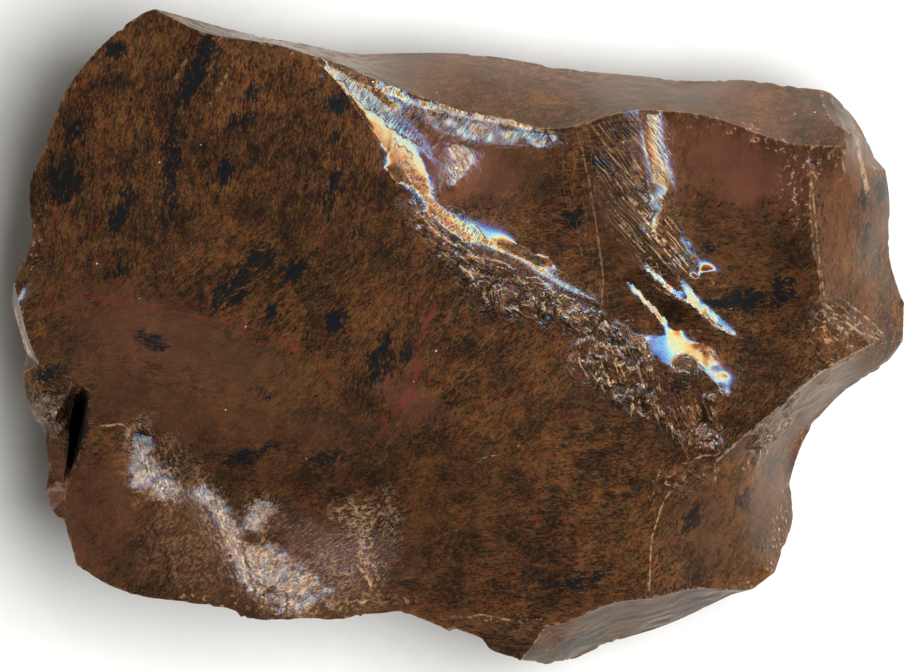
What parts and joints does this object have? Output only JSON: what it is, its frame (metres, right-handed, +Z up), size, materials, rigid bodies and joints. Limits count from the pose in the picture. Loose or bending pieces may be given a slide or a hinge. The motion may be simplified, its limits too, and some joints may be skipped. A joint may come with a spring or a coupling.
{
  "type": "obsidian chunk",
  "caption": "Broken chunk of mahogany obsidian with a broad smooth face, curved flake scars and sharp edges, lying on a flat facet.",
  "frame": {"origin": "on the resting plane, under the middle of the stone's outline seen from above", "axes": "+X along the length towards the notched end, +Y towards the long steep back edge, +Z up out of the broad face"},
  "size_m": [0.0804, 0.059, 0.0269],
  "materials": {
    "obsidian": "glassy"
  },
  "bodies": {
    "root": {"obsidian_chunk": "obsidian"}
  },
  "joints": []
}
